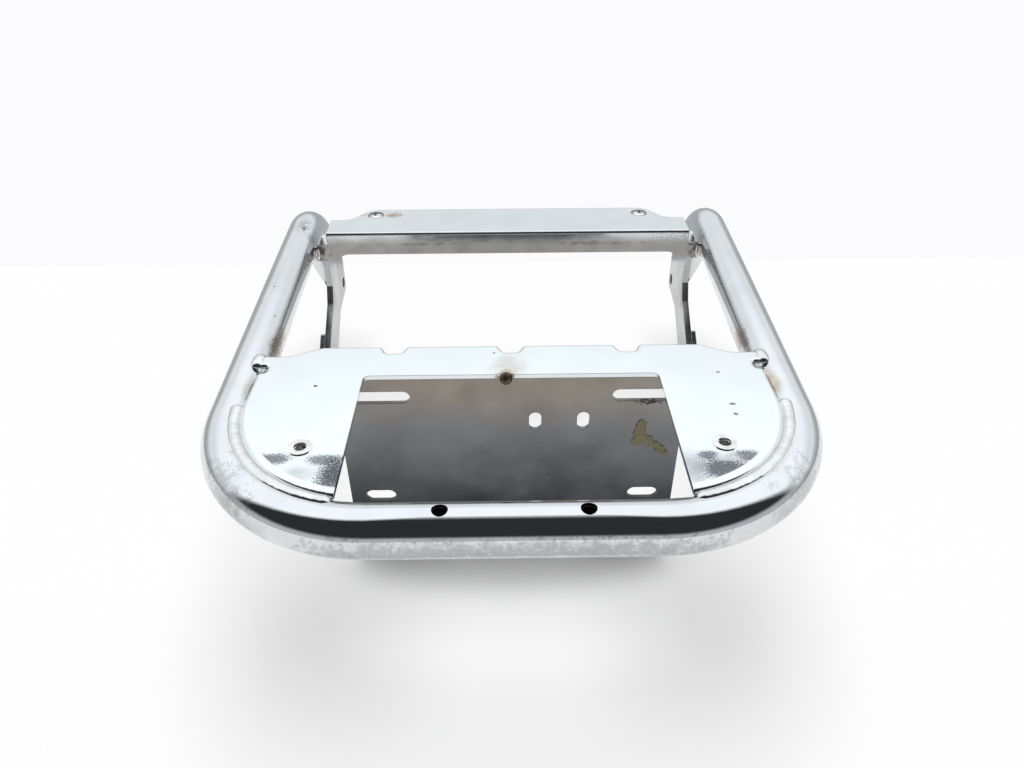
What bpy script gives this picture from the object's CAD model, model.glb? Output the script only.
"""Looks of a chromed luggage mounting rack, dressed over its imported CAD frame."""

import logging
import math
import random
from dataclasses import dataclass
from enum import Enum

import bmesh
import bpy
from mathutils import Matrix, Vector


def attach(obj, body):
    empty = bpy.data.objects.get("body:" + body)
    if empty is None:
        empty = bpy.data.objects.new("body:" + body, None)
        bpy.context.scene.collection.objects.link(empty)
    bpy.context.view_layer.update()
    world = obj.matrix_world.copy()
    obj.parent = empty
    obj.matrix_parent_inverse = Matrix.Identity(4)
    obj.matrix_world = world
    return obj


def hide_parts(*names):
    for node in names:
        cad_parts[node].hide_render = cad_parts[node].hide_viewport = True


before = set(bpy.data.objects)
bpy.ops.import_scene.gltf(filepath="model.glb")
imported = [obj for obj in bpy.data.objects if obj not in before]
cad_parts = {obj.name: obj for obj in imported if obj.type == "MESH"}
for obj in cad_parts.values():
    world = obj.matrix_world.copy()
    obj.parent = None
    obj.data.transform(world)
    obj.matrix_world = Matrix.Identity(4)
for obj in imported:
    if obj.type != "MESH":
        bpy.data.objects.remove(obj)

log = logging.getLogger("mounting_rack")

Point = tuple[float, float, float]
Colour = tuple[float, float, float]
MILLIMETRE = 0.001
FAR = 1.0e5
BODY = "root"
SIDES: tuple[tuple[str, int], ...] = (("left", -1), ("right", 1))


def metres(*lengths: float) -> Point:
    """Return lengths given in millimetres as metres."""
    return tuple(length * MILLIMETRE for length in lengths)


class Slot(Enum):
    """The record's material slots that the added pieces use."""

    BRACKET = "bracket_steel"
    WELD = "weld_bead"
    INSERT = "insert_steel"


class Blend(Enum):
    """How a mark changes the metal that it lies on."""

    FILM = "film"
    RUST = "rust"
    DIRT = "dirt"
    SPECKLE = "speckle"
    HAZE = "haze"
    POLISH = "polish"
    DULL = "dull"


@dataclass(frozen=True)
class Cover:
    """How a kind of mark shines and stands on the metal."""

    rough: float
    metal: float
    relief: float


COVERS: dict[Blend, Cover] = {
    Blend.FILM: Cover(0.24, 0.85, 0.0),
    Blend.RUST: Cover(0.7, 0.15, 0.5),
    Blend.DIRT: Cover(0.8, 0.0, 0.3),
    Blend.SPECKLE: Cover(0.28, 1.0, -0.1),
    Blend.HAZE: Cover(0.32, 1.0, 0.0),
    Blend.POLISH: Cover(0.06, 1.0, 0.0),
    Blend.DULL: Cover(0.5, 0.05, 0.0),
}


@dataclass(frozen=True)
class Mark:
    """A local stain, rust bloom or worn patch, placed in millimetres of the CAD frame."""

    centre: Point
    reach: Point
    colour: Colour
    strength: float = 0.8
    raggedness: float = 0.55
    grain: float = 420.0
    kind: Blend = Blend.RUST
    core: float = 0.2


@dataclass(frozen=True)
class MetalFinish:
    """A plated or bare metal and how it has aged."""

    name: str
    tint: Colour
    shade: Colour
    smooth: float
    dull: float
    cloud_scale: float = 38.0
    peel_scale: float = 260.0
    peel_height: float = 0.02
    pit_scale: float = 620.0
    pit_share: float = 0.05
    pit_colour: Colour = (0.07, 0.065, 0.06)
    fleck_scale: float = 1400.0
    edge_radius: float = 0.0005
    marks: tuple[Mark, ...] = ()


class Shader:
    """A material whose nodes are added by plain calls."""

    def __init__(self, name: str) -> None:
        """Start a material with one metal shader on its output."""
        self.material = bpy.data.materials.new(name)
        self.material.use_nodes = True
        self.tree = self.material.node_tree
        self.tree.nodes.clear()
        output = self.tree.nodes.new("ShaderNodeOutputMaterial")
        self.surface = self.tree.nodes.new("ShaderNodeBsdfPrincipled")
        self.tree.links.new(self.surface.outputs["BSDF"], output.inputs["Surface"])
        self.place = self.tree.nodes.new("ShaderNodeTexCoord").outputs["Object"]

    def feed(self, socket: bpy.types.NodeSocket, value: object) -> None:
        """Link a socket to another one, or set it to a plain value."""
        if isinstance(value, bpy.types.NodeSocket):
            self.tree.links.new(value, socket)
        elif isinstance(value, tuple) and len(value) == 3 and socket.type == "RGBA":
            socket.default_value = (*value, 1.0)
        else:
            socket.default_value = value

    def put(self, name: str, value: object) -> None:
        """Set or link one input of the metal shader."""
        self.feed(self.surface.inputs[name], value)

    def maths(self, operation: str, *values: object) -> bpy.types.NodeSocket:
        """Return the result of a maths node.

        Args:
            operation: Name of the operation.
            values: Numbers or sockets, in order.

        Returns:
            The socket that holds the result.
        """
        node = self.tree.nodes.new("ShaderNodeMath")
        node.operation = operation
        for socket, value in zip(node.inputs, values):
            self.feed(socket, value)
        return node.outputs[0]

    def span(self, value: object, low: float, high: float, start: float = 0.0, end: float = 1.0) -> object:
        """Return a value eased from one range into another.

        Args:
            value: The socket to map.
            low: Value that gives start.
            high: Value that gives end.
            start: Result at low.
            end: Result at high.

        Returns:
            The socket that holds the result.
        """
        node = self.tree.nodes.new("ShaderNodeMapRange")
        node.interpolation_type = "SMOOTHSTEP"
        for name, number in (("Value", value), ("From Min", low), ("From Max", high)):
            self.feed(node.inputs[name], number)
        self.feed(node.inputs["To Min"], start)
        self.feed(node.inputs["To Max"], end)
        return node.outputs["Result"]

    def mix(self, share: object, first: object, second: object) -> bpy.types.NodeSocket:
        """Return two colours mixed by a share."""
        node = self.tree.nodes.new("ShaderNodeMix")
        node.data_type = "RGBA"
        self.feed(node.inputs["Factor"], share)
        colours = [socket for socket in node.inputs if socket.type == "RGBA"]
        self.feed(colours[0], first)
        self.feed(colours[1], second)
        return next(socket for socket in node.outputs if socket.type == "RGBA")

    def weigh(self, share: object, first: object, second: object) -> bpy.types.NodeSocket:
        """Return two numbers mixed by a share."""
        node = self.tree.nodes.new("ShaderNodeMix")
        node.data_type = "FLOAT"
        self.feed(node.inputs["Factor"], share)
        numbers = [socket for socket in node.inputs if socket.type == "VALUE" and socket.name != "Factor"]
        self.feed(numbers[0], first)
        self.feed(numbers[1], second)
        return next(socket for socket in node.outputs if socket.type == "VALUE")

    def noise(self, scale: float, detail: float = 3.0, vector: object = None, twist: float = 0.0) -> object:
        """Return noise on object coordinates.

        Args:
            scale: Waves for each metre.
            detail: Number of finer layers.
            vector: Another coordinate to read, if any.
            twist: How much the noise bends itself.

        Returns:
            The socket that holds the noise.
        """
        node = self.tree.nodes.new("ShaderNodeTexNoise")
        self.feed(node.inputs["Vector"], vector or self.place)
        self.feed(node.inputs["Scale"], scale)
        self.feed(node.inputs["Detail"], detail)
        self.feed(node.inputs["Distortion"], twist)
        return node.outputs[0]

    def cells(self, scale: float) -> bpy.types.NodeSocket:
        """Return the distance to the nearest of many scattered points."""
        node = self.tree.nodes.new("ShaderNodeTexVoronoi")
        self.feed(node.inputs["Vector"], self.place)
        self.feed(node.inputs["Scale"], scale)
        return node.outputs["Distance"]

    def stretch(self, scale: Point, shift: Point = (0.0, 0.0, 0.0)) -> bpy.types.NodeSocket:
        """Return object coordinates scaled and then moved."""
        node = self.tree.nodes.new("ShaderNodeMapping")
        self.feed(node.inputs["Vector"], self.place)
        self.feed(node.inputs["Scale"], scale)
        self.feed(node.inputs["Location"], shift)
        return node.outputs["Vector"]

    def axis(self, index: int) -> bpy.types.NodeSocket:
        """Return one object coordinate."""
        node = self.tree.nodes.new("ShaderNodeSeparateXYZ")
        self.feed(node.inputs[0], self.place)
        return node.outputs[index]

    def around(self, centre: Point, reach: Point) -> bpy.types.NodeSocket:
        """Return the distance from a point, as a share of the reach each way.

        Args:
            centre: Point in millimetres.
            reach: Reach along X, Y and Z in millimetres.

        Returns:
            The socket that holds the distance.
        """
        scale = tuple(1.0 / (length * MILLIMETRE) for length in reach)
        shift = tuple(-spot / length for spot, length in zip(centre, reach))
        node = self.tree.nodes.new("ShaderNodeVectorMath")
        node.operation = "LENGTH"
        self.feed(node.inputs[0], self.stretch(scale, shift))
        return node.outputs["Value"]

    def bump(self, height: object, strength: float, depth: float, under: object = None) -> object:
        """Return a normal bent by a height.

        Args:
            height: The socket that holds the height.
            strength: Share of the full effect.
            depth: Depth in metres.
            under: Normal to start from, if any.

        Returns:
            The socket that holds the normal.
        """
        node = self.tree.nodes.new("ShaderNodeBump")
        self.feed(node.inputs["Strength"], strength)
        self.feed(node.inputs["Distance"], depth)
        self.feed(node.inputs["Height"], height)
        if under is not None:
            self.feed(node.inputs["Normal"], under)
        return node.outputs["Normal"]

    def soft_edges(self, radius: float) -> bpy.types.NodeSocket:
        """Return a normal that rounds sharp edges."""
        node = self.tree.nodes.new("ShaderNodeBevel")
        node.samples = 6
        self.feed(node.inputs["Radius"], radius)
        return node.outputs["Normal"]


class MetalPainter:
    """Turns a metal finish into a material."""

    cloud_span: tuple[float, float] = (0.32, 0.7)
    patch_span: tuple[float, float] = (0.42, 0.72)
    wander_span: tuple[float, float] = (0.25, 0.75)
    pit_cover: Cover = Cover(0.6, 1.0, 0.0)
    pit_growth: float = 4.0
    pit_edge: float = 0.06
    peel_depth: float = 0.0005
    relief_depth: float = 0.0002
    relief_strength: float = 0.35
    mottle_dark: float = 0.45
    mottle_scale: float = 1.7

    def __init__(self, finish: MetalFinish) -> None:
        """Start the material of a finish."""
        self.finish = finish
        self.shader = Shader(finish.name)

    def paint(self) -> bpy.types.Material:
        """Return the finished material."""
        finish = self.finish
        shader = self.shader
        clouds = shader.span(shader.noise(finish.cloud_scale, 4.0, twist=0.4), *self.cloud_span)
        self.colour = shader.mix(clouds, finish.tint, finish.shade)
        self.rough = shader.weigh(clouds, finish.smooth, finish.dull)
        self.metal: object = 1.0
        pits = self.pits()
        self.cover(pits, finish.pit_colour, self.pit_cover)
        self.relief = shader.maths("MULTIPLY", pits, -1.0)
        for mark in finish.marks:
            share = self.mark_share(mark)
            kind = COVERS[mark.kind]
            self.cover(share, self.mark_colour(mark), kind)
            if kind.relief:
                self.relief = shader.maths("MULTIPLY_ADD", share, kind.relief, self.relief)
        self.last_coat()
        shader.put("Base Color", self.colour)
        shader.put("Roughness", self.rough)
        shader.put("Metallic", self.metal)
        base = shader.soft_edges(finish.edge_radius) if finish.edge_radius > 0.0 else None
        grain = shader.noise(finish.peel_scale, 2.0)
        peel = shader.bump(grain, finish.peel_height, self.peel_depth, base)
        shader.put("Normal", shader.bump(self.relief, self.relief_strength, self.relief_depth, peel))
        return shader.material

    def cover(self, share: object, colour: object, kind: Cover) -> None:
        """Lay a coat over the metal.

        Args:
            share: How far the coat covers each point.
            colour: Colour of the coat.
            kind: Shine of the coat.
        """
        self.colour = self.shader.mix(share, self.colour, colour)
        self.rough = self.shader.weigh(share, self.rough, kind.rough)
        if kind.metal < 1.0:
            self.metal = self.shader.weigh(share, self.metal, kind.metal)

    def last_coat(self) -> None:
        """Add nothing more, unless the painter of a certain piece does."""

    def pits(self) -> bpy.types.NodeSocket:
        """Return a mask of small pits that gather in patches."""
        shader = self.shader
        finish = self.finish
        patches = shader.span(shader.noise(finish.cloud_scale * 0.6, 3.0), *self.patch_span)
        growth = shader.maths("MULTIPLY", patches, finish.pit_share * self.pit_growth)
        size = shader.maths("ADD", growth, finish.pit_share)
        near = shader.maths("SUBTRACT", size, shader.cells(finish.pit_scale))
        return shader.span(near, 0.0, self.pit_edge)

    def mark_share(self, mark: Mark) -> bpy.types.NodeSocket:
        """Return how far a mark covers each point.

        Args:
            mark: The stain or worn patch.

        Returns:
            The socket that holds the share, from 0 to the mark's strength.
        """
        shader = self.shader
        distance = shader.around(mark.centre, mark.reach)
        grain = shader.noise(mark.grain, 4.0)
        wander = shader.span(grain, *self.wander_span, -mark.raggedness, mark.raggedness)
        edge = shader.maths("ADD", distance, wander)
        body = shader.span(edge, 1.0, mark.core)
        if mark.kind is Blend.SPECKLE:
            flecks = shader.noise(self.finish.fleck_scale, 2.0)
            raised = shader.maths("SUBTRACT", shader.span(edge, 1.4, 0.2), 1.1)
            dust = shader.span(shader.maths("MULTIPLY_ADD", flecks, 2.2, raised), 0.2, 0.9)
            body = shader.maths("MULTIPLY", dust, shader.span(edge, 1.35, 0.9))
        return shader.maths("MULTIPLY", body, mark.strength)

    def mark_colour(self, mark: Mark) -> bpy.types.NodeSocket:
        """Return the mottled colour of a mark."""
        darker = tuple(channel * self.mottle_dark for channel in mark.colour)
        return self.shader.mix(self.shader.noise(mark.grain * self.mottle_scale, 4.0), darker, mark.colour)


class TubePainter(MetalPainter):
    """Paints the tube, whose bore was never plated."""

    axis_y: float = -39.6
    axis_z: float = -11.55
    bore: float = 9.9
    straight: float = 58.0
    straight_edge: float = 1.0
    bore_edge: tuple[float, float] = (1.03, 0.99)
    bare: Colour = (0.012, 0.011, 0.010)
    bare_cover: Cover = Cover(0.9, 0.0, 0.0)

    def last_coat(self) -> None:
        """Darken the bore behind the two bolt holes."""
        shader = self.shader
        across = shader.around((0.0, self.axis_y, self.axis_z), (FAR, self.bore, self.bore))
        along = shader.maths("ABSOLUTE", shader.axis(0))
        end = self.straight + self.straight_edge
        near = shader.span(along, end * MILLIMETRE, self.straight * MILLIMETRE)
        share = shader.maths("MULTIPLY", shader.span(across, *self.bore_edge), near)
        self.cover(share, self.bare, self.bare_cover)


class DeckPainter(MetalPainter):
    """Paints the deck, whose rounded rim is rubbed bright."""

    centre_x: float = 60.3
    centre_y: float = 35.6
    rim: float = 67.6
    band: float = 4.2
    behind_edge: tuple[float, float] = (0.034, 0.028)
    aside_edge: tuple[float, float] = (0.066, 0.068)
    fade_in: float = 0.008
    fade_out: float = 0.004

    def last_coat(self) -> None:
        """Brighten the rim beside the corner welds."""
        shader = self.shader
        inner = 1.0 - self.band / self.rim
        behind = shader.span(shader.axis(1), *self.behind_edge)
        for _, sign in SIDES:
            away = shader.around((sign * self.centre_x, self.centre_y, 0.0), (self.rim, self.rim, FAR))
            aside = shader.maths("MULTIPLY", shader.axis(0), float(sign))
            outer = shader.maths("MULTIPLY", shader.span(aside, *self.aside_edge), behind)
            rim = shader.span(away, inner - self.fade_in, inner + self.fade_out)
            share = shader.maths("MULTIPLY", rim, outer)
            self.cover(share, self.finish.tint, COVERS[Blend.POLISH])


RUST_ORANGE: Colour = (0.52, 0.33, 0.17)
RUST_BROWN: Colour = (0.22, 0.15, 0.10)
PALE_BROWN: Colour = (0.56, 0.48, 0.38)
RUST_BLACK: Colour = (0.12, 0.095, 0.075)
OLD_DIRT: Colour = (0.13, 0.115, 0.10)
BLUE_BLACK: Colour = (0.10, 0.112, 0.13)
DULL_GREY: Colour = (0.50, 0.51, 0.51)
PURPLE_GREY: Colour = (0.50, 0.485, 0.52)
CRUMB: Colour = (0.03, 0.03, 0.03)
DECK_TINT: Colour = (0.775, 0.815, 0.83)

TUBE_CHROME = MetalFinish(
    name="loop_tube_chrome",
    tint=(0.715, 0.735, 0.755),
    shade=(0.67, 0.69, 0.71),
    smooth=0.03,
    dull=0.07,
    pit_share=0.013,
    fleck_scale=900.0,
    edge_radius=0.0,
    marks=(
        Mark((-128.0, 97.0, -8.0), (5.0, 22.0, 7.0), PALE_BROWN, 0.7, 0.25, 120.0, Blend.HAZE),
        Mark((-128.0, 95.0, -8.0), (4.0, 14.0, 5.5), RUST_BROWN, 0.6, 0.3, 200.0, Blend.SPECKLE),
        Mark((128.0, 98.0, -8.0), (5.0, 20.0, 7.0), PALE_BROWN, 0.65, 0.25, 120.0, Blend.HAZE),
        Mark((128.0, 96.0, -8.0), (4.0, 12.0, 5.5), RUST_BROWN, 0.45, 0.3, 200.0, Blend.SPECKLE),
        Mark((-142.5, 241.0, 0.0), (4.0, 10.0, 4.0), RUST_BROWN, 0.4, 0.9, 400.0, Blend.SPECKLE),
        Mark((-140.5, 236.0, 0.0), (1.6, 3.4, 3.0), OLD_DIRT, 0.8, 0.5, 600.0, Blend.DIRT),
        Mark((-140.8, 150.6, 0.0), (0.7, 1.0, 1.5), CRUMB, 0.9, 0.3, 700.0, Blend.DIRT),
        Mark((-143.6, 132.1, -0.6), (1.3, 1.8, 1.5), DULL_GREY, 0.6, 0.6, 700.0, Blend.FILM),
        Mark((-133.0, 118.3, -1.7), (0.7, 1.0, 1.5), CRUMB, 0.8, 0.3, 700.0, Blend.DIRT),
        Mark((-130.1, 131.0, -5.2), (0.8, 1.2, 1.5), CRUMB, 0.8, 0.3, 700.0, Blend.DIRT),
        Mark((-150.5, 253.3, -1.3), (0.8, 1.2, 1.5), CRUMB, 0.8, 0.3, 700.0, Blend.DIRT),
        Mark((-134.5, 229.0, -9.0), (5.0, 14.0, 9.0), OLD_DIRT, 0.5, 0.25, 160.0, Blend.HAZE),
        Mark((134.5, 229.0, -9.0), (5.0, 14.0, 9.0), OLD_DIRT, 0.45, 0.25, 160.0, Blend.HAZE),
        Mark((130.0, 48.0, -2.0), (4.2, 17.0, 6.0), (0.78, 0.71, 0.60), 0.9, 0.12, 120.0, Blend.FILM),
        Mark((128.2, 47.0, -3.5), (1.5, 15.0, 4.0), RUST_ORANGE, 0.8, 0.2, 200.0),
        Mark((-129.5, 48.0, -3.0), (3.6, 14.0, 6.0), PALE_BROWN, 0.5, 0.2, 160.0, Blend.FILM),
        Mark((0.0, -51.0, -13.0), (170.0, 6.0, 7.5), (0.60, 0.61, 0.615), 0.65, 0.25, 140.0, Blend.HAZE),
        Mark((0.0, -51.0, -13.5), (160.0, 6.0, 6.0), (0.50, 0.51, 0.52), 0.5, 0.9, 420.0, Blend.SPECKLE),
        Mark((-112.0, -26.0, -14.0), (30.0, 26.0, 12.0), PURPLE_GREY, 0.7, 0.25, 90.0, Blend.HAZE),
        Mark((112.0, -26.0, -14.0), (30.0, 26.0, 12.0), PURPLE_GREY, 0.5, 0.25, 90.0, Blend.HAZE),
        Mark((-120.0, -18.0, -8.0), (20.0, 20.0, 9.0), DULL_GREY, 0.45, 0.5, 200.0, Blend.SPECKLE),
        Mark((120.0, -18.0, -8.0), (20.0, 20.0, 9.0), DULL_GREY, 0.45, 0.5, 200.0, Blend.SPECKLE),
    ),
)

DECK_CHROME = MetalFinish(
    name="deck_plate_chrome",
    tint=DECK_TINT,
    shade=(0.75, 0.79, 0.81),
    smooth=0.05,
    dull=0.11,
    pit_share=0.004,
    edge_radius=0.0006,
    marks=(
        Mark((-1.0, 62.0, 0.0), (12.0, 14.0, 4.0), (0.72, 0.66, 0.56), 0.5, 0.15, 120.0, Blend.FILM),
        Mark((-2.4, 57.0, 0.0), (6.0, 3.4, 4.0), RUST_ORANGE, 0.5, 0.25, 300.0, Blend.FILM),
        Mark((-2.6, 55.4, -1.0), (6.0, 1.5, 3.0), RUST_BROWN, 0.95, 0.3, 500.0),
        Mark((127.5, 46.0, -1.5), (1.6, 17.0, 3.0), RUST_ORANGE, 0.9, 0.3, 300.0),
        Mark((-127.5, 48.0, -1.5), (1.4, 12.0, 3.0), RUST_BROWN, 0.6, 0.4, 300.0),
        Mark((-76.0, -18.0, 0.0), (9.0, 12.0, 4.0), BLUE_BLACK, 0.95, 0.12, 70.0, Blend.SPECKLE),
        Mark((-80.0, -8.5, 0.0), (11.0, 4.0, 4.0), BLUE_BLACK, 0.75, 0.12, 90.0, Blend.SPECKLE),
        Mark((-104.0, -7.5, 0.0), (10.0, 4.6, 4.0), BLUE_BLACK, 0.8, 0.15, 90.0, Blend.SPECKLE),
        Mark((-92.5, -18.0, 0.0), (12.0, 9.0, 4.0), DECK_TINT, 0.97, 0.12, 90.0, Blend.POLISH),
        Mark((90.0, -17.0, 0.0), (16.0, 9.0, 4.0), BLUE_BLACK, 0.9, 0.12, 70.0, Blend.SPECKLE),
        Mark((101.0, -9.0, 0.0), (8.0, 4.4, 4.0), BLUE_BLACK, 0.8, 0.12, 90.0, Blend.SPECKLE),
        Mark((84.5, -8.5, 0.0), (6.0, 3.6, 4.0), BLUE_BLACK, 0.8, 0.12, 90.0, Blend.SPECKLE),
        Mark((93.0, -9.5, 0.0), (7.5, 3.8, 4.0), DECK_TINT, 0.97, 0.12, 90.0, Blend.POLISH),
        Mark((76.0, -16.0, 0.0), (8.0, 16.0, 4.0), (0.60, 0.64, 0.68), 0.85, 0.15, 90.0, Blend.HAZE),
        Mark((-96.2, 46.7, 0.0), (1.5, 1.1, 3.0), CRUMB, 0.95, 0.3, 500.0, Blend.DIRT),
        Mark((103.5, 55.0, 0.0), (1.2, 0.9, 3.0), CRUMB, 0.8, 0.3, 500.0, Blend.DIRT),
        Mark((104.4, 28.3, 0.0), (1.9, 1.2, 3.0), CRUMB, 0.9, 0.3, 500.0, Blend.DIRT),
        Mark((103.9, 20.5, 0.0), (1.3, 1.5, 3.0), CRUMB, 0.7, 0.4, 500.0, Blend.DIRT),
        Mark((-8.7, 74.7, 0.0), (1.2, 0.9, 3.0), CRUMB, 0.8, 0.4, 500.0, Blend.DIRT),
    ),
)

RAIL_CHROME = MetalFinish(
    name="cross_rail_chrome",
    tint=(0.71, 0.74, 0.76),
    shade=(0.67, 0.70, 0.72),
    smooth=0.07,
    dull=0.15,
    pit_share=0.01,
    edge_radius=0.0006,
    marks=(
        Mark((-82.0, 256.0, 0.0), (9.0, 6.0, 4.0), PALE_BROWN, 0.85, 0.5, 260.0, Blend.FILM),
        Mark((-81.0, 257.0, 0.0), (6.0, 2.5, 4.0), RUST_ORANGE, 0.6, 0.6, 420.0, Blend.FILM),
        Mark((-104.0, 257.5, 0.0), (6.0, 3.0, 4.0), OLD_DIRT, 0.2, 0.6, 330.0, Blend.DIRT),
        Mark((0.0, 225.7, -15.0), (4000.0, 5.0, 15.0), (0.76, 0.735, 0.69), 0.95, 0.1, 40.0, Blend.DULL),
        Mark((-93.7, 256.8, 0.0), (6.2, 6.2, 1.6), OLD_DIRT, 0.9, 0.04, 300.0, Blend.DIRT, 0.8),
        Mark((93.7, 256.8, 0.0), (6.2, 6.2, 1.6), OLD_DIRT, 0.9, 0.04, 300.0, Blend.DIRT, 0.8),
        Mark((-60.0, 225.7, -8.5), (34.0, 4.0, 1.6), OLD_DIRT, 0.4, 0.6, 160.0, Blend.HAZE),
        Mark((60.0, 225.7, -8.5), (34.0, 4.0, 1.6), OLD_DIRT, 0.4, 0.6, 160.0, Blend.HAZE),
        Mark((-129.0, 226.0, -12.0), (9.0, 6.0, 11.0), RUST_BROWN, 0.6, 0.4, 300.0, Blend.FILM),
        Mark((-131.0, 230.0, -9.0), (7.0, 10.0, 12.0), RUST_BLACK, 0.8, 0.3, 300.0, Blend.DIRT, 0.5),
        Mark((129.0, 226.0, -12.0), (9.0, 6.0, 11.0), RUST_BROWN, 0.5, 0.4, 300.0, Blend.FILM),
        Mark((131.0, 230.0, -9.0), (7.0, 10.0, 12.0), RUST_BLACK, 0.8, 0.3, 300.0, Blend.DIRT, 0.5),
        Mark((112.0, 225.7, -9.0), (14.0, 4.0, 8.0), (0.72, 0.72, 0.72), 0.8, 0.7, 500.0, Blend.SPECKLE),
    ),
)

ARM_CHROME = MetalFinish(
    name="side_arm_chrome",
    tint=(0.48, 0.485, 0.49),
    shade=(0.40, 0.40, 0.405),
    smooth=0.12,
    dull=0.26,
    pit_share=0.02,
    edge_radius=0.0006,
    marks=(
        Mark((-138.0, 268.0, -76.0), (8.0, 14.0, 12.0), OLD_DIRT, 0.35, 0.3, 130.0, Blend.FILM),
        Mark((138.0, 268.0, -76.0), (8.0, 14.0, 12.0), OLD_DIRT, 0.35, 0.3, 130.0, Blend.FILM),
        Mark((-138.0, 236.0, -108.0), (8.0, 14.0, 14.0), RUST_BROWN, 0.35, 0.3, 130.0, Blend.FILM),
        Mark((138.0, 236.0, -108.0), (8.0, 14.0, 14.0), RUST_BROWN, 0.35, 0.3, 130.0, Blend.FILM),
    ),
)

BRACKET_STEEL = MetalFinish(
    name="number_plate_bracket_steel",
    tint=(0.245, 0.25, 0.26),
    shade=(0.22, 0.225, 0.235),
    smooth=0.28,
    dull=0.38,
    cloud_scale=16.0,
    peel_scale=420.0,
    peel_height=0.05,
    pit_scale=260.0,
    pit_share=0.022,
    pit_colour=(0.10, 0.08, 0.06),
    edge_radius=0.0006,
    marks=(
        Mark((0.0, 55.0, 4.0), (260.0, 9.0, 44.0), (0.40, 0.35, 0.29), 0.85, 0.08, 30.0, Blend.FILM),
        Mark((0.0, 55.0, -122.0), (260.0, 9.0, 112.0), (0.035, 0.037, 0.042), 0.92, 0.08, 30.0, Blend.HAZE),
        Mark((71.0, 55.0, -18.4), (7.0, 4.0, 1.4), CRUMB, 0.9, 0.6, 700.0, Blend.DIRT),
        Mark((-12.0, 55.0, -62.0), (34.0, 9.0, 24.0), (0.25, 0.25, 0.25), 0.25, 0.4, 90.0, Blend.FILM),
        Mark((48.0, 55.0, -92.0), (30.0, 9.0, 20.0), (0.20, 0.20, 0.20), 0.25, 0.4, 90.0, Blend.FILM),
    ),
)

WELD_METAL = MetalFinish(
    name="weld_bead_chrome",
    tint=(0.76, 0.765, 0.77),
    shade=(0.68, 0.675, 0.67),
    smooth=0.06,
    dull=0.16,
    cloud_scale=90.0,
    peel_scale=500.0,
    peel_height=0.12,
    pit_scale=700.0,
    pit_share=0.02,
    edge_radius=0.0,
    marks=(
        Mark((-131.0, 227.0, -15.0), (8.0, 8.0, 9.0), RUST_BROWN, 0.5, 0.7, 500.0, Blend.FILM),
        Mark((131.0, 227.0, -15.0), (8.0, 8.0, 9.0), RUST_BROWN, 0.4, 0.7, 500.0, Blend.FILM),
    ),
)

TACK_METAL = MetalFinish(
    name="scorched_tack_weld",
    tint=(0.16, 0.12, 0.085),
    shade=(0.07, 0.05, 0.035),
    smooth=0.4,
    dull=0.7,
    cloud_scale=500.0,
    peel_scale=900.0,
    peel_height=0.3,
    pit_scale=1400.0,
    pit_share=0.05,
    edge_radius=0.0,
)

INSERT_STEEL = MetalFinish(
    name="threaded_insert_steel",
    tint=(0.80, 0.80, 0.79),
    shade=(0.66, 0.65, 0.63),
    smooth=0.12,
    dull=0.28,
    cloud_scale=160.0,
    peel_scale=900.0,
    pit_scale=1400.0,
    pit_share=0.03,
    edge_radius=0.0,
)

WELDS = ("deck_edge_weld", "ear_weld", "rail_end_weld", "arm_rear_weld", "arm_front_weld")
NODE_FINISHES: tuple[tuple[MetalFinish, tuple[str, ...]], ...] = (
    (TUBE_CHROME, ("loop_tube", "tube_end_cap_left", "tube_end_cap_right")),
    (DECK_CHROME, ("rear_deck_plate",)),
    (RAIL_CHROME, ("front_cross_rail",)),
    (ARM_CHROME, ("side_arm_left", "side_arm_right", "arm_doubler_left", "arm_doubler_right")),
    (BRACKET_STEEL, ("number_plate_bracket",)),
    (TACK_METAL, ("bracket_tack_weld",)),
    (WELD_METAL, tuple("%s_%s" % (weld, side) for weld in WELDS for side, _ in SIDES)),
    (INSERT_STEEL, ("threaded_insert_left", "threaded_insert_right")),
)


def dress_node(name: str, material: bpy.types.Material) -> None:
    """Give a CAD node a material in every slot that it has."""
    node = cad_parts[name]
    if not node.material_slots:
        node.data.materials.append(material)
    for slot in node.material_slots:
        slot.material = material
    log.info("dressed %s with %s", name, material.name)


def new_piece(
    name: str, mesh: bmesh.types.BMesh, material: bpy.types.Material
) -> bpy.types.Object:
    """Make an object of a bmesh and let it ride on the rack.

    Args:
        name: Name of the piece.
        mesh: The shape, already in its place.
        material: The piece's material.

    Returns:
        The new object.
    """
    bmesh.ops.recalc_face_normals(mesh, faces=mesh.faces)
    data = bpy.data.meshes.new(name)
    mesh.to_mesh(data)
    mesh.free()
    data.materials.append(material)
    for polygon in data.polygons:
        polygon.use_smooth = True
    piece = bpy.data.objects.new(name, data)
    bpy.context.scene.collection.objects.link(piece)
    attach(piece, BODY)
    log.info("made %s with %d faces", name, len(data.polygons))
    return piece


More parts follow.
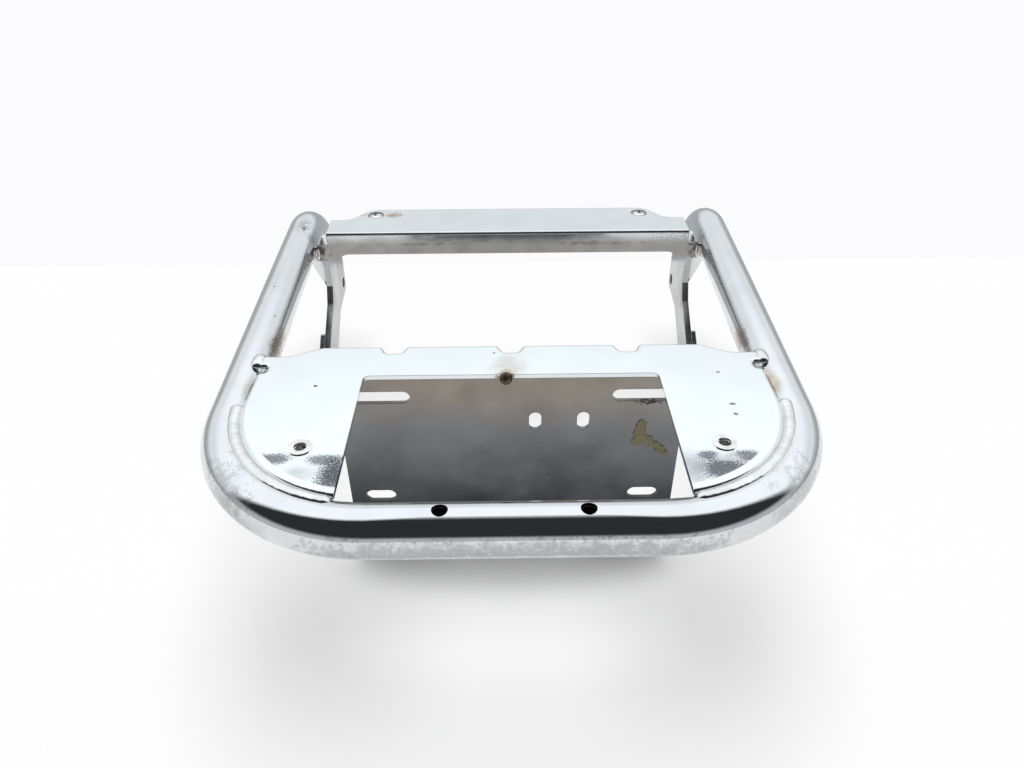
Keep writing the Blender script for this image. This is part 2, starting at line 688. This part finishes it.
class BeadRings:
    """Grows a closed bead, one ring after the other."""

    tip: float = 0.4

    def __init__(self, radius: float, segments: int) -> None:
        """Start with one small round face at the origin, square to Z."""
        self.mesh = bmesh.new()
        self.width = self.tip
        bmesh.ops.create_circle(self.mesh, cap_ends=True, segments=segments, radius=radius * self.width)
        self.face = next(iter(self.mesh.faces))

    def ring(self) -> list[bmesh.types.BMVert]:
        """Return a new ring that lies on the last one, with no wall left between the two."""
        last = self.face
        joined = any(len(edge.link_faces) > 1 for edge in last.edges)
        grown = bmesh.ops.extrude_face_region(self.mesh, geom=[last])["geom"]
        self.face = next(item for item in grown if isinstance(item, bmesh.types.BMFace))
        if joined and last.is_valid:
            bmesh.ops.delete(self.mesh, geom=[last], context="FACES_ONLY")
        return list(self.face.verts)

    def swell(self, ring: list[bmesh.types.BMVert], width: float) -> None:
        """Widen a ring about its own middle to a share of the bead's radius."""
        middle = self.face.calc_center_median()
        grow = width / self.width
        bmesh.ops.scale(self.mesh, verts=ring, vec=(grow, grow, grow), space=Matrix.Translation(-middle))
        self.width = width


@dataclass
class RippledBead:
    """A weld bead drawn as overlapping ripples along a straight line."""

    name: str
    node: str
    start: Point
    end: Point
    radius: float
    ripple: float = 1.8
    depth: float = 0.05
    segments: int = 24
    seed: int = 5
    least_ripples: int = 4
    rings_each: int = 4
    end_drop: float = 0.84
    end_power: float = 3.0
    waver: float = 0.005

    def build(self, material: bpy.types.Material) -> bpy.types.Object:
        """Make the bead, which stands for its CAD node.

        Args:
            material: The bead's material.

        Returns:
            The bead's object.
        """
        first = Vector(metres(*self.start))
        run = Vector(metres(*self.end)) - first
        ripples = round(run.length / (self.ripple * MILLIMETRE))
        count = max(self.least_ripples, ripples) * self.rings_each
        chance = random.Random(self.seed)
        rings = BeadRings(self.radius * MILLIMETRE, self.segments)
        for step in range(count):
            along = (step + 1.0) / count
            round_end = (1.0 - abs(2.0 * along - 1.0) ** self.end_power * self.end_drop) ** 0.5
            wave = 1.0 - self.depth * 0.5 * (1.0 - math.cos(step * math.pi / 2.0))
            ring = rings.ring()
            bmesh.ops.translate(rings.mesh, verts=ring, vec=(0.0, 0.0, run.length / count))
            rings.swell(ring, round_end * wave * chance.uniform(1.0 - self.waver, 1.0 + self.waver))
        turn = run.to_track_quat("Z", "Y").to_matrix().to_4x4()
        bmesh.ops.transform(rings.mesh, matrix=Matrix.Translation(first) @ turn, verts=rings.mesh.verts)
        piece = new_piece(self.name, rings.mesh, material)
        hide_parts(self.node)
        return piece


@dataclass
class CornerBead:
    """The long weld in the groove between the deck's round corner and the tube."""

    centre: Point = (60.3, 35.6, -3.1)
    path: float = 70.1
    radius: float = 3.8
    start_angle: float = 2.0
    end_angle: float = 78.0
    segments: int = 40
    steps: int = 120
    seed: int = 17
    end_width: float = 0.7
    end_growth: float = 12.0
    waver: float = 0.002
    waves: tuple[tuple[float, float], ...] = ((5.0, 0.012), (11.0, 0.008), (23.0, 0.005))

    def build(self, material: bpy.types.Material) -> None:
        """Make the bead of both corners."""
        for side, sign in SIDES:
            rings = BeadRings(self.radius * MILLIMETRE, self.segments)
            mesh = rings.mesh
            upright = Matrix.Rotation(math.pi / 2.0, 3, "X")
            bmesh.ops.rotate(mesh, verts=mesh.verts, cent=(0.0, 0.0, 0.0), matrix=upright)
            middle = Vector(metres(sign * self.centre[0], self.centre[1], self.centre[2]))
            place = middle + Vector(metres(sign * self.path, 0.0, 0.0))
            bmesh.ops.translate(mesh, verts=mesh.verts, vec=place)
            self.turn(mesh, list(mesh.verts), middle, -sign * self.start_angle)
            chance = random.Random(self.seed + sign)
            for step in range(self.steps):
                ring = rings.ring()
                self.turn(mesh, ring, middle, -sign * (self.end_angle - self.start_angle) / self.steps)
                rings.swell(ring, self.girth((step + 1.0) / self.steps, chance))
            piece = new_piece("corner_weld_" + side, mesh, material)
            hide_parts("deck_edge_weld_" + side)

    def girth(self, along: float, chance: random.Random) -> float:
        """Return the bead's width at one place.

        Args:
            along: Share of the bead's length.
            chance: Source of small differences.

        Returns:
            The width as a share of the bead's radius.
        """
        ends = min(1.0, self.end_width + self.end_growth * min(along, 1.0 - along))
        wave = sum(height * math.sin(along * count * math.tau) for count, height in self.waves)
        return ends * (1.0 + wave) * chance.uniform(1.0 - self.waver, 1.0 + self.waver)

    def turn(
        self, mesh: bmesh.types.BMesh, verts: list[bmesh.types.BMVert], about: Vector, angle: float
    ) -> None:
        """Turn vertices about an upright line.

        Args:
            mesh: The mesh that holds the vertices.
            verts: The vertices.
            about: A point on the line.
            angle: Angle in degrees.
        """
        matrix = Matrix.Rotation(math.radians(angle), 3, "Z")
        bmesh.ops.rotate(mesh, verts=verts, cent=about, matrix=matrix)


@dataclass
class WeldSet:
    """The short straight welds on the ears, the rail's ends and the arms."""

    ear_x: float = 130.0
    ear_y: tuple[float, float] = (64.6, 77.0)
    ear_z: float = -2.6
    ear_radius: float = 4.0
    rail_x: float = 132.26
    rail_y: float = 226.95
    rail_z: tuple[float, float] = (-20.4, -9.6)
    rail_radius: float = 3.1
    arm_x: float = 141.7
    arm_y: tuple[float, float] = (291.5, 310.9)
    arm_radius: float = 2.2
    rear_z: tuple[float, float] = (-80.3, -59.7)
    front_z: tuple[float, float] = (-74.7, -59.7)
    seed_step: int = 7

    def build(self, material: bpy.types.Material) -> None:
        """Make every bead of the set."""
        for number, (side, sign) in enumerate(SIDES):
            for bead in self.beads(side, sign):
                bead.seed += number * self.seed_step
                bead.build(material)

    def beads(self, side: str, sign: int) -> list[RippledBead]:
        """Return the four beads of one side.

        Args:
            side: Name of the side.
            sign: Sign of X on that side.

        Returns:
            The beads, not built yet.
        """
        ear = RippledBead(
            "rippled_ear_weld_" + side,
            "ear_weld_" + side,
            (sign * self.ear_x, self.ear_y[0], self.ear_z),
            (sign * self.ear_x, self.ear_y[1], self.ear_z),
            self.ear_radius,
            ripple=3.1,
            depth=0.012,
            segments=32,
        )
        rail = RippledBead(
            "rippled_rail_weld_" + side,
            "rail_end_weld_" + side,
            (sign * self.rail_x, self.rail_y, self.rail_z[0]),
            (sign * self.rail_x, self.rail_y, self.rail_z[1]),
            self.rail_radius,
        )
        arms = []
        for end, y, reach in (("rear", self.arm_y[0], self.rear_z), ("front", self.arm_y[1], self.front_z)):
            arms.append(
                RippledBead(
                    "rippled_arm_%s_weld_%s" % (end, side),
                    "arm_%s_weld_%s" % (end, side),
                    (sign * self.arm_x, y, reach[0]),
                    (sign * self.arm_x, y, reach[1]),
                    self.arm_radius,
                )
            )
        return [ear, rail] + arms


@dataclass
class InsertThread:
    """The thread cut into the bore of a deck insert."""

    bolt_x: float = 93.7
    bore_radius: float = 2.95
    tooth: float = 0.5
    pitch: float = 1.0
    tooth_half: float = 0.46
    top: float = -0.2
    turns: int = 9
    steps: int = 24

    def build(self, material: bpy.types.Material) -> None:
        """Make the thread of both inserts."""
        for side, sign in SIDES:
            mesh = bmesh.new()
            half = self.pitch * self.tooth_half
            profile = (
                (self.bore_radius, 0.0, -half),
                (self.bore_radius - self.tooth, 0.0, 0.0),
                (self.bore_radius, 0.0, half),
            )
            corners = [mesh.verts.new(metres(*spot)) for spot in profile]
            cap = mesh.faces.new(corners)
            bmesh.ops.spin(
                mesh,
                geom=[cap] + list(cap.edges) + corners,
                cent=(0.0, 0.0, 0.0),
                axis=(0.0, 0.0, 1.0),
                dvec=(0.0, 0.0, -self.pitch * MILLIMETRE / self.steps),
                angle=math.tau * self.turns,
                steps=self.steps * self.turns,
            )
            place = metres(sign * self.bolt_x, 0.0, self.top - half)
            bmesh.ops.translate(mesh, verts=mesh.verts, vec=place)
            new_piece("insert_thread_" + side, mesh, material)


@dataclass
class AdhesiveScrap:
    """The torn scrap of dried adhesive left on the bracket's rear face."""

    left: float = 62.0
    right: float = 85.5
    low: float = -55.5
    high: float = -28.5
    face_y: float = 55.1
    film: float = 0.18
    lift: float = 0.5
    flat_lift: float = 0.25
    curl_share: float = 0.6
    ragged: float = 0.12
    seed: int = 11
    cells: int = 36
    colour: Colour = (0.17, 0.145, 0.075)
    pale: Colour = (0.27, 0.245, 0.15)
    blobs: tuple[tuple[float, float, float, float], ...] = (
        (68.3, -33.5, 2.8, 4.2),
        (67.8, -39.0, 3.6, 4.5),
        (67.3, -43.5, 3.4, 3.6),
        (71.5, -43.5, 4.0, 3.0),
        (75.5, -46.5, 3.6, 2.3),
        (79.5, -49.5, 3.0, 2.4),
        (82.3, -52.6, 2.0, 1.8),
    )

    def build(self) -> bpy.types.Object:
        """Return the scrap, which lies on the bracket."""
        chance = random.Random(self.seed)
        width = (self.right - self.left) * MILLIMETRE
        height = (self.high - self.low) * MILLIMETRE
        mesh = bmesh.new()
        bmesh.ops.create_grid(mesh, x_segments=self.cells, y_segments=self.cells, size=0.5)
        bmesh.ops.scale(mesh, verts=mesh.verts, vec=(width, height, 1.0))
        upright = Matrix.Rotation(math.pi / 2, 3, "X")
        bmesh.ops.rotate(mesh, verts=mesh.verts, cent=(0.0, 0.0, 0.0), matrix=upright)
        middle = metres((self.left + self.right) / 2, self.face_y, (self.low + self.high) / 2)
        bmesh.ops.translate(mesh, verts=mesh.verts, vec=middle)
        outside = [face for face in mesh.faces if not self.covers(face.calc_center_median(), chance)]
        bmesh.ops.delete(mesh, geom=outside, context="FACES")
        rim = [vert for vert in mesh.verts if vert.is_boundary]
        bmesh.ops.smooth_vert(mesh, verts=rim, factor=0.5, use_axis_x=True, use_axis_z=True)
        for vert in mesh.verts:
            curl = self.lift if vert.is_boundary else self.lift * self.flat_lift
            vert.co.y -= (self.film + curl * chance.random() * self.curl_share) * MILLIMETRE
        bmesh.ops.solidify(mesh, geom=mesh.faces[:], thickness=self.film * MILLIMETRE)
        return new_piece("adhesive_scrap", mesh, self.material())

    def covers(self, spot: Vector, chance: random.Random) -> bool:
        """Return whether a point of the face lies under the scrap.

        Args:
            spot: The point, in metres.
            chance: Source of the ragged edge.

        Returns:
            True where the scrap covers the point.
        """
        x = spot.x / MILLIMETRE
        z = spot.z / MILLIMETRE
        limit = 1.0 + chance.uniform(-self.ragged, self.ragged)
        return any(math.hypot((x - u) / a, (z - v) / b) < limit for u, v, a, b in self.blobs)

    def material(self) -> bpy.types.Material:
        """Return the dull, fibrous material of the dried adhesive."""
        shader = Shader("dried_adhesive")
        fibres = shader.noise(60.0, 5.0, shader.stretch((8.0, 1.0, 30.0)))
        shader.put("Base Color", shader.mix(shader.span(fibres, 0.3, 0.7), self.colour, self.pale))
        shader.put("Roughness", shader.span(shader.noise(700.0), 0.3, 0.7, 0.5, 0.85))
        shader.put("Normal", shader.bump(fibres, 0.4, 0.0004))
        return shader.material


@dataclass
class Studio:
    """The floor, the light tent round the rack, the lamp and the camera."""

    floor_z: float = -0.1296
    floor_back: float = 0.443
    floor_reach: float = 3.0
    low_light: float = 0.47
    middle_light: float = 0.50
    middle_edge: tuple[float, float] = (0.02, 0.3)
    high_light: float = 0.31
    high_edge: tuple[float, float] = (0.42, 0.64)
    opening_light: float = 0.035
    opening_edge: tuple[float, float] = (-0.12, 0.10)
    horizon_light: float = 0.55
    horizon_edge: tuple[float, float] = (0.36, 0.13)
    plain_light: float = 0.32
    lamp_light: float = 2.2
    lamp_spread: float = 44.0
    lamp_tilt: float = 12.0
    tent_colour: Colour = (0.95, 0.98, 1.0)
    wall_colour: Colour = (0.965, 0.965, 0.98)
    floor_colour: Colour = (0.98, 0.98, 0.98)
    floor_lift: float = 0.5
    foot: Point = (0.0, 62.0, -129.6)
    foot_reach: Point = (120.0, 45.0, FAR)
    foot_edge: tuple[float, float] = (0.5, 1.1)
    camera_place: Point = (-0.00322, -0.26139, 0.21790)
    focal_pixels: float = 769.0
    image_width: float = 1024.0
    sensor: float = 36.0
    yaw: float = 0.646
    pitch: float = 35.278
    roll: float = -0.256

    def build(self) -> None:
        """Make the floor, the world, the lamp and the camera."""
        self.make_floor()
        self.make_world()
        self.make_lamp()
        self.make_camera()

    def make_floor(self) -> None:
        """Lay a plain pale floor under the rack."""
        mesh = bmesh.new()
        bmesh.ops.create_grid(mesh, x_segments=1, y_segments=1, size=1.0)
        bmesh.ops.scale(mesh, verts=mesh.verts, vec=(self.floor_reach, self.floor_reach, 1.0))
        middle = (0.0, self.floor_back - self.floor_reach, self.floor_z)
        bmesh.ops.translate(mesh, verts=mesh.verts, vec=middle)
        data = bpy.data.meshes.new("studio_floor")
        mesh.to_mesh(data)
        mesh.free()
        shader = Shader("studio_floor_paper")
        grain = shader.span(shader.noise(900.0, 4.0), 0.2, 0.8, 0.985, 1.0)
        shade = tuple(channel * 0.98 for channel in self.floor_colour)
        paper = shader.mix(grain, shade, self.floor_colour)
        lift = self.pale_share(shader)
        shader.put("Base Color", shader.mix(lift, paper, (0.0, 0.0, 0.0)))
        shader.put("Emission Color", (1.0, 1.0, 1.0))
        shader.put("Emission Strength", lift)
        shader.put("Roughness", 0.9)
        shader.put("Specular IOR Level", 0.0)
        data.materials.append(shader.material)
        floor = bpy.data.objects.new("studio_floor", data)
        bpy.context.scene.collection.objects.link(floor)

    def pale_share(self, shader: Shader) -> bpy.types.NodeSocket:
        """Return how far the paper shows plain white, which is nowhere near the bracket's foot.

        Args:
            shader: The floor's material.

        Returns:
            The socket that holds the share, for the eye and for metal and glass alone.
        """
        rays = shader.tree.nodes.new("ShaderNodeLightPath").outputs
        seen = shader.maths("MAXIMUM", rays["Is Camera Ray"], rays["Is Glossy Ray"])
        seen = shader.maths("MAXIMUM", seen, rays["Is Transmission Ray"])
        distance = shader.around(self.foot, self.foot_reach)
        away = shader.span(distance, *self.foot_edge, 0.0, self.floor_lift)
        return shader.maths("MULTIPLY", seen, away)

    def make_world(self) -> None:
        """Surround the rack with a bright tent that is open and dark behind the camera."""
        world = bpy.data.worlds.new("light_tent")
        bpy.context.scene.world = world
        world.use_nodes = True
        tree = world.node_tree
        tree.nodes.clear()

        def maths(operation: str, first: object, second: object) -> bpy.types.NodeSocket:
            """Return the result of a maths node in the world."""
            node = tree.nodes.new("ShaderNodeMath")
            node.operation = operation
            for socket, value in zip(node.inputs, (first, second)):
                if isinstance(value, bpy.types.NodeSocket):
                    tree.links.new(value, socket)
                else:
                    socket.default_value = value
            return node.outputs[0]

        def ease(value: bpy.types.NodeSocket, low: float, high: float) -> bpy.types.NodeSocket:
            """Return a value eased from 0 at low to 1 at high."""
            node = tree.nodes.new("ShaderNodeMapRange")
            node.interpolation_type = "SMOOTHSTEP"
            tree.links.new(value, node.inputs["Value"])
            node.inputs["From Min"].default_value = low
            node.inputs["From Max"].default_value = high
            return node.outputs["Result"]

        way = tree.nodes.new("ShaderNodeSeparateXYZ")
        tree.links.new(tree.nodes.new("ShaderNodeTexCoord").outputs["Generated"], way.inputs[0])
        middle = maths("MULTIPLY", ease(way.outputs["Z"], *self.middle_edge), self.middle_light)
        high = maths("MULTIPLY", ease(way.outputs["Z"], *self.high_edge), self.high_light)
        glow = maths("ADD", maths("ADD", middle, high), self.low_light)
        ahead = ease(way.outputs["Y"], *self.opening_edge)
        horizon = maths("MULTIPLY", ease(way.outputs["Z"], *self.horizon_edge), self.horizon_light)
        behind = maths("MULTIPLY", horizon, maths("SUBTRACT", 1.0, ahead))
        tent = maths("ADD", maths("MULTIPLY", glow, ahead), behind)
        light = maths("ADD", tent, self.opening_light)
        rays = tree.nodes.new("ShaderNodeLightPath")
        lit = self.backdrop(tree, (1.0, 1.0, 1.0), self.plain_light)
        for ray, colour, strength in (
            ("Is Glossy Ray", self.tent_colour, light),
            ("Is Camera Ray", self.wall_colour, 1.0),
        ):
            chooser = tree.nodes.new("ShaderNodeMixShader")
            tree.links.new(rays.outputs[ray], chooser.inputs["Fac"])
            tree.links.new(lit, chooser.inputs[1])
            tree.links.new(self.backdrop(tree, colour, strength), chooser.inputs[2])
            lit = chooser.outputs[0]
        output = tree.nodes.new("ShaderNodeOutputWorld")
        tree.links.new(lit, output.inputs["Surface"])

    def backdrop(self, tree: bpy.types.NodeTree, colour: Colour, strength: object) -> bpy.types.NodeSocket:
        """Return a background of one colour in the world.

        Args:
            tree: The world's nodes.
            colour: Its colour.
            strength: A number, or a socket that holds one.

        Returns:
            The socket that holds the background.
        """
        node = tree.nodes.new("ShaderNodeBackground")
        node.inputs["Color"].default_value = (*colour, 1.0)
        if isinstance(strength, bpy.types.NodeSocket):
            tree.links.new(strength, node.inputs["Strength"])
        else:
            node.inputs["Strength"].default_value = strength
        return node.outputs[0]

    def make_lamp(self) -> None:
        """Hang a broad soft lamp over the rack, which the chrome does not mirror."""
        light = bpy.data.lights.new("overhead_softbox", "SUN")
        light.energy = self.lamp_light
        light.angle = math.radians(self.lamp_spread)
        lamp = bpy.data.objects.new("overhead_softbox", light)
        lamp.matrix_world = Matrix.Rotation(math.radians(-self.lamp_tilt), 4, "X")
        lamp.visible_glossy = False
        bpy.context.scene.collection.objects.link(lamp)

    def make_camera(self) -> None:
        """Place the camera where the photograph was taken from."""
        yaw, pitch, roll = (math.radians(angle) for angle in (self.yaw, self.pitch, self.roll))
        ahead = Vector((math.sin(yaw) * math.cos(pitch), math.cos(yaw) * math.cos(pitch), -math.sin(pitch)))
        right = Vector((math.cos(yaw), -math.sin(yaw), 0.0))
        up = right.cross(ahead)
        across = right * math.cos(roll) + up * math.sin(roll)
        upward = up * math.cos(roll) - right * math.sin(roll)
        lens = bpy.data.cameras.new("photo_camera")
        lens.sensor_fit = "HORIZONTAL"
        lens.sensor_width = self.sensor
        lens.lens = self.focal_pixels / self.image_width * self.sensor
        lens.clip_start = 0.01
        camera = bpy.data.objects.new("photo_camera", lens)
        turn = Matrix((across, upward, -ahead)).transposed().to_4x4()
        camera.matrix_world = Matrix.Translation(self.camera_place) @ turn
        bpy.context.scene.collection.objects.link(camera)
        bpy.context.scene.camera = camera


def main() -> None:
    """Dress the CAD nodes, add the small pieces and set the stage."""
    logging.basicConfig(level=logging.INFO)
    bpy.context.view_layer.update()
    bpy.context.scene.view_settings.view_transform = "Standard"
    painters = {TUBE_CHROME.name: TubePainter, DECK_CHROME.name: DeckPainter}
    materials = {
        finish.name: painters.get(finish.name, MetalPainter)(finish).paint() for finish, _ in NODE_FINISHES
    }
    for finish, nodes in NODE_FINISHES:
        for node in nodes:
            dress_node(node, materials[finish.name])
    weld_metal = materials[WELD_METAL.name]
    WeldSet().build(weld_metal)
    CornerBead().build(weld_metal)
    InsertThread().build(materials[INSERT_STEEL.name])
    AdhesiveScrap().build()
    Studio().build()


if __name__ == "__main__":
    main()
